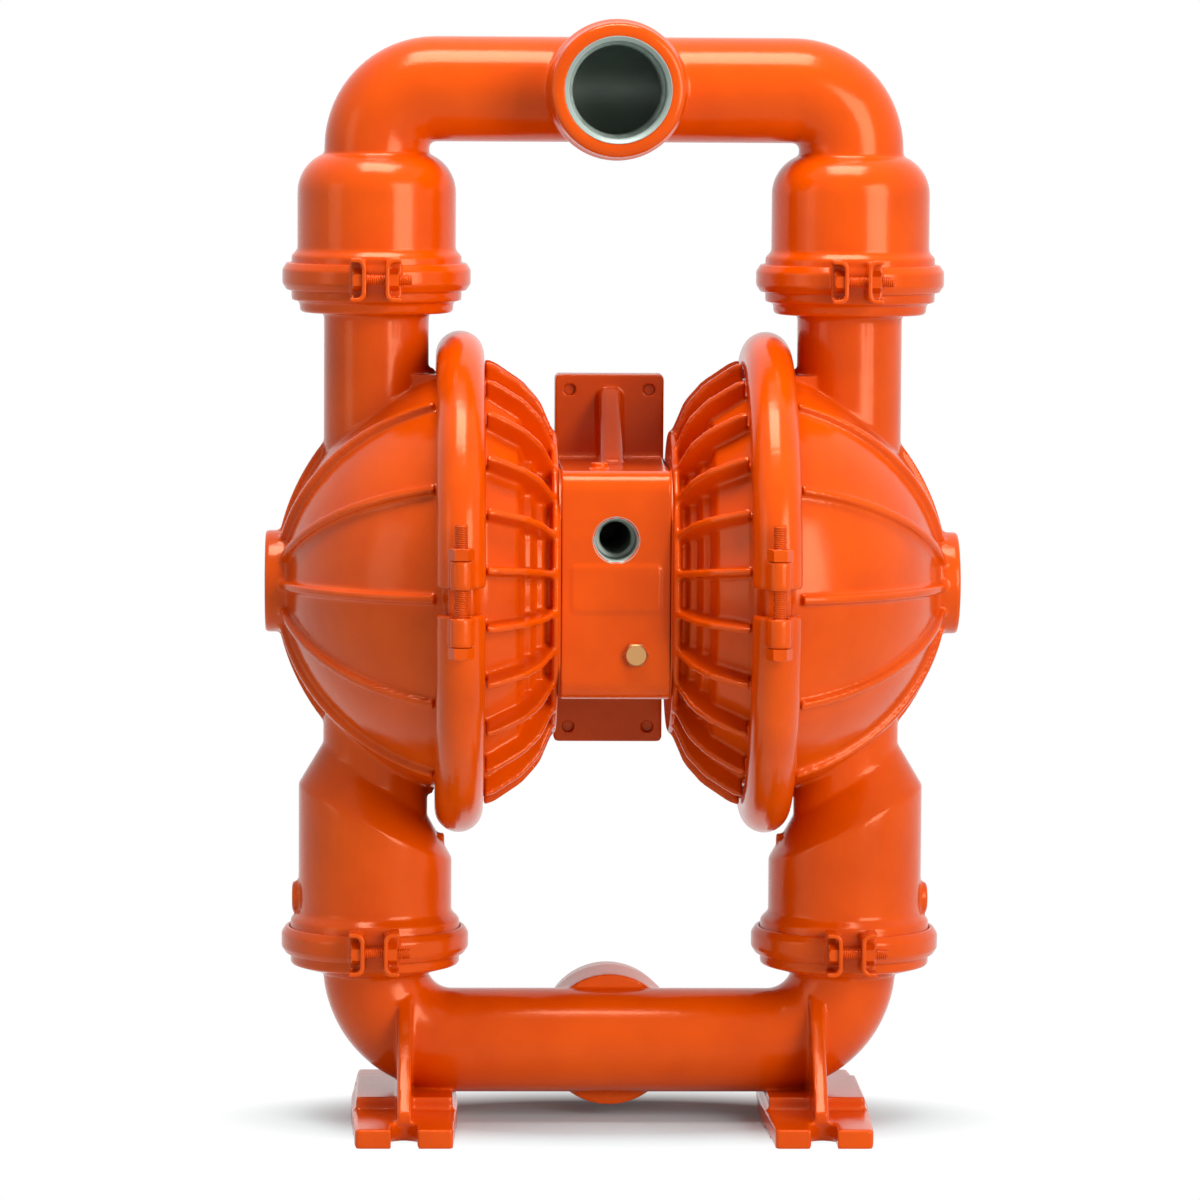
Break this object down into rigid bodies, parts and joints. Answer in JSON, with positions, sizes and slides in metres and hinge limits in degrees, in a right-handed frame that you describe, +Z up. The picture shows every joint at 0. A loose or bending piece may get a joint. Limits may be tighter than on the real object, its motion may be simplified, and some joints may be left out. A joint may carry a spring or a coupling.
{
  "type": "air operated diaphragm pump",
  "caption": "Clamped metal double diaphragm pump with upper and lower pipe manifolds, ribbed chambers, ball valves, air valve and slotted feet.",
  "frame": {"origin": "on the floor, midway between the two feet and under the middle of the shaft", "axes": "+X along the shaft to the right-hand chamber, -Y out of the discharge port at the front, +Y out of the inlet port at the rear, +Z up"},
  "size_m": [0.4032, 0.3144, 0.6422],
  "materials": {
    "orange_paint": "glossy enamel over cast iron",
    "ground_steel": "ground",
    "screw_steel": "plated",
    "tan_brass": "dull",
    "black_rubber": "matt",
    "seat_aluminium": "machined",
    "piston_aluminium": "machined",
    "bearing_plastic": "moulded"
  },
  "bodies": {
    "root": {"air_chamber_left": "orange_paint", "air_chamber_right": "orange_paint", "air_valve_body": "orange_paint", "air_valve_cap_lower": "orange_paint", "air_valve_cap_upper": "orange_paint", "air_valve_gasket": "black_rubber", "air_valve_retaining_rings": "screw_steel", "air_valve_screws": "screw_steel", "block_plug": "tan_brass", "center_block": "orange_paint", "chamber_gasket_left": "black_rubber", "chamber_gasket_right": "black_rubber", "chamber_screws": "screw_steel", "diaphragm_left": "black_rubber", "diaphragm_right": "black_rubber", "discharge_manifold": "orange_paint", "inlet_left_clamp_a": "orange_paint", "inlet_left_clamp_b": "orange_paint", "inlet_left_seat": "seat_aluminium", "inlet_manifold": "orange_paint", "inlet_right_clamp_a": "orange_paint", "inlet_right_clamp_b": "orange_paint", "inlet_right_seat": "seat_aluminium", "large_clamp_bolts": "orange_paint", "large_clamp_lower_left": "orange_paint", "large_clamp_lower_right": "orange_paint", "large_clamp_nuts": "orange_paint", "large_clamp_upper_left": "orange_paint", "large_clamp_upper_right": "orange_paint", "liquid_chamber_left": "orange_paint", "liquid_chamber_right": "orange_paint", "outlet_left_clamp_a": "orange_paint", "outlet_left_clamp_b": "orange_paint", "outlet_left_seat": "seat_aluminium", "outlet_right_clamp_a": "orange_paint", "outlet_right_clamp_b": "orange_paint", "outlet_right_seat": "seat_aluminium", "pilot_sleeve": "bearing_plastic", "seat_rings": "black_rubber", "shaft_bushing": "bearing_plastic", "shaft_seals": "bearing_plastic", "small_clamp_bolts": "orange_paint", "small_clamp_nuts": "orange_paint"},
    "shaft": {"main_shaft": "ground_steel", "inner_piston_left": "piston_aluminium", "inner_piston_right": "piston_aluminium", "outer_piston_left": "piston_aluminium", "outer_piston_right": "piston_aluminium"},
    "pilot": {"pilot_spool": "ground_steel"},
    "air_spool": {"air_valve_spool": "bearing_plastic"},
    "inlet_left_valve": {"inlet_left_ball": "black_rubber"},
    "inlet_right_valve": {"inlet_right_ball": "black_rubber"},
    "outlet_left_valve": {"outlet_left_ball": "black_rubber"},
    "outlet_right_valve": {"outlet_right_ball": "black_rubber"}
  },
  "joints": [
    {"name": "shaft_slide", "type": "slide", "parent": "root", "child": "shaft", "axis": [1, 0, 0], "range_m": [-0.02, 0.02], "deforming": ["diaphragm_left", "diaphragm_right"]},
    {"name": "pilot_slide", "type": "slide", "parent": "root", "child": "pilot", "axis": [1, 0, 0], "range_m": [-0.006, 0.006]},
    {"name": "air_spool_slide", "type": "slide", "parent": "root", "child": "air_spool", "axis": [0, 0, 1], "range_m": [0, 0.022]},
    {"name": "inlet_left_lift", "type": "slide", "parent": "root", "child": "inlet_left_valve", "axis": [0, 0, 1], "range_m": [0, 0.012]},
    {"name": "inlet_right_lift", "type": "slide", "parent": "root", "child": "inlet_right_valve", "axis": [0, 0, 1], "range_m": [0, 0.012]},
    {"name": "outlet_left_lift", "type": "slide", "parent": "root", "child": "outlet_left_valve", "axis": [0, 0, 1], "range_m": [0, 0.012]},
    {"name": "outlet_right_lift", "type": "slide", "parent": "root", "child": "outlet_right_valve", "axis": [0, 0, 1], "range_m": [0, 0.012]}
  ],
  "couplings": [
    {"joint": "pilot_slide", "follows": "shaft_slide", "ratio": 0.3}
  ]
}
